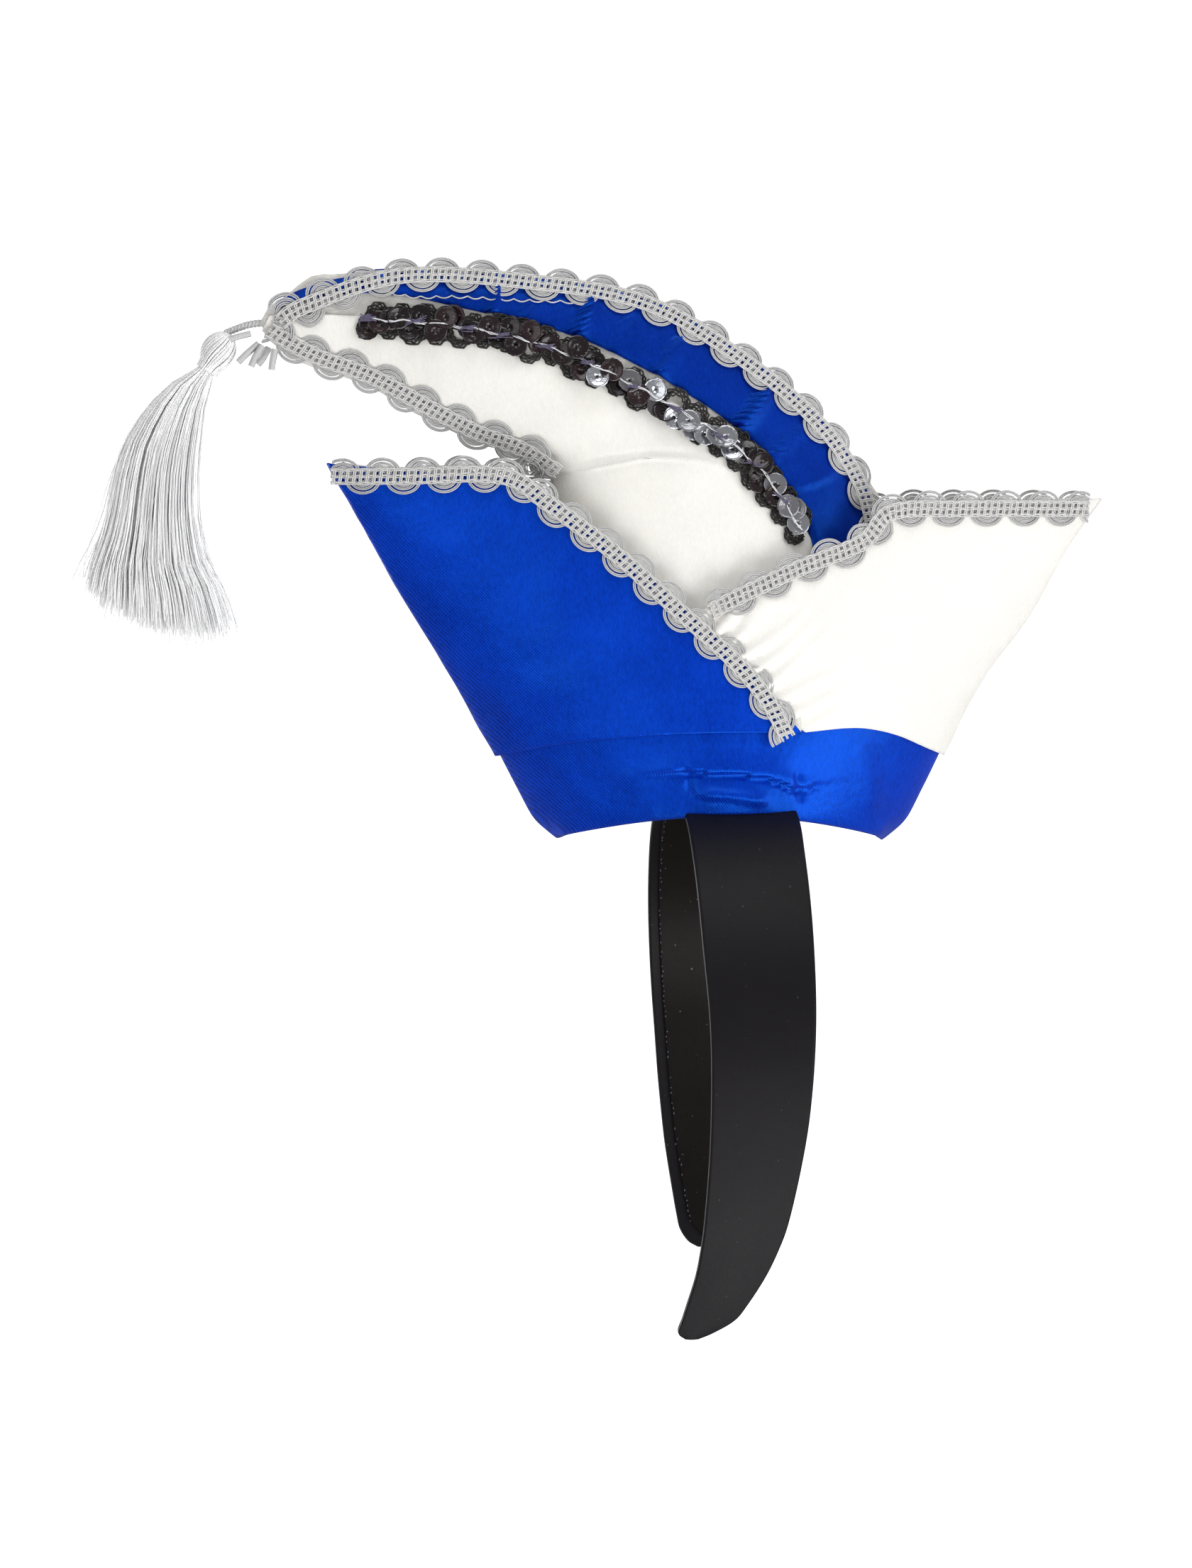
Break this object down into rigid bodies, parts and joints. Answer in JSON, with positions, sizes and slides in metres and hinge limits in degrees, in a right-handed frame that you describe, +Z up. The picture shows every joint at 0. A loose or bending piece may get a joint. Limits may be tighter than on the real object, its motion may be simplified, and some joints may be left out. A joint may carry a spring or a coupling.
{
  "type": "carnival cap headband",
  "caption": "Small blue and ivory satin carnival cap with silver braid, black sequins and a silver tassel, on a black satin headband.",
  "frame": {"origin": "Top of the headband's arch, on its inner face, where it rests on the head", "axes": "+Z up, the cap's horn and tassel point along -X, the near side of the picture is -Y"},
  "size_m": [0.2699, 0.132, 0.2631],
  "materials": {
    "black_satin": "black satin weave, soft sheen",
    "black_lining": "black lining, glued, slightly glossy",
    "white_felt": "white needle felt, matte",
    "blue_satin": "royal blue satin, soft sheen",
    "ivory_satin": "ivory satin, soft sheen",
    "silver_braid": "silver scroll gimp of metal thread",
    "sequins": "black and silver sequins, glossy",
    "silver_thread": "fine silver metal thread"
  },
  "bodies": {
    "root": {"headband": "black_satin", "headband_lining": "black_lining", "crown_felt_near": "white_felt", "crown_felt_far": "white_felt", "base_band": "blue_satin", "crest_stripe": "blue_satin", "crest_panel_near": "ivory_satin", "crest_panel_far": "ivory_satin", "front_flap": "blue_satin", "front_flap_felt": "white_felt", "rear_flap": "ivory_satin", "rear_flap_felt": "white_felt", "tassel": "silver_thread", "ridge_braid_near": "silver_braid", "ridge_braid_far": "silver_braid", "horn_braid_near": "silver_braid", "horn_braid_far": "silver_braid", "front_braid_near": "silver_braid", "front_braid_far": "silver_braid", "rear_braid_near": "silver_braid", "rear_braid_far": "silver_braid", "sequin_string_near": "sequins", "sequin_string_far": "sequins"}
  },
  "joints": []
}
